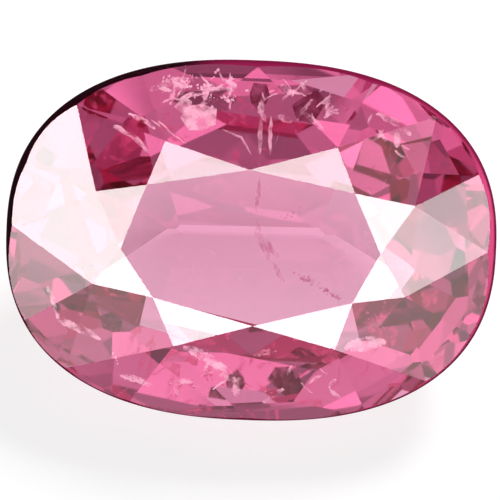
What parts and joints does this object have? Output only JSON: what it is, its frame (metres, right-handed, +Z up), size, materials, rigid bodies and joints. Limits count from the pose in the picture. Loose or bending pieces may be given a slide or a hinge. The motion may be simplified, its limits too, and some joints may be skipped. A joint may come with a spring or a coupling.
{
  "type": "faceted oval pink sapphire",
  "caption": "Loose cut pink gemstone, an oval mixed cut with a brilliant crown, a stepped pavilion and a short keel, lying on a pavilion facet.",
  "frame": {"origin": "centre of the bounding box in plan, on the surface that the stone rests on", "axes": "+X along the stone's length, +Z up, and the table tilted towards -Y as the stone lies on the pavilion facet beside its keel"},
  "size_m": [0.0074, 0.0048, 0.0037],
  "materials": {
    "sapphire": "polished facets on clear pink corundum, with a ground girdle and a few inclusions"
  },
  "bodies": {
    "root": {"sapphire": "sapphire"}
  },
  "joints": []
}
